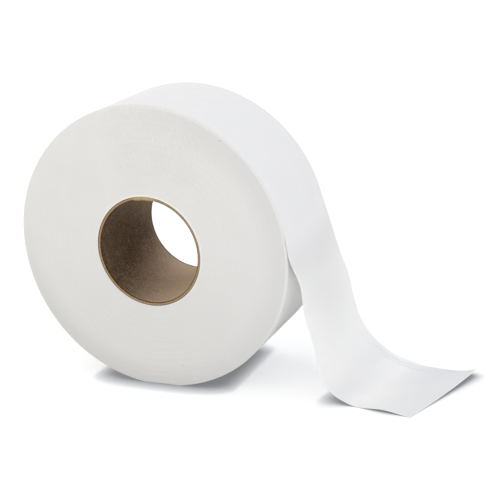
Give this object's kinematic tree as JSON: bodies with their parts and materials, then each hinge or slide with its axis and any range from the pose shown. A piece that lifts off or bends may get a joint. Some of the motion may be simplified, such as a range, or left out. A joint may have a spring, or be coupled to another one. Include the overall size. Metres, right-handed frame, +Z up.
{
  "type": "jumbo toilet paper roll",
  "caption": "Wide roll of white tissue wound on a cardboard core, standing on its rim with the free end hanging down and lying out along the floor.",
  "frame": {"origin": "middle of the core's bore, halfway across the roll's width", "axes": "+Y along the bore from the front face to the back, +X to the side where the tail hangs, +Z up with the roll standing on its flat spot"},
  "size_m": [0.3519, 0.0974, 0.2276],
  "materials": {
    "tissue": "matte soft tissue",
    "core_board": "matte brown board"
  },
  "bodies": {
    "root": {"paper_roll": "tissue", "cardboard_core": "core_board"}
  },
  "joints": []
}
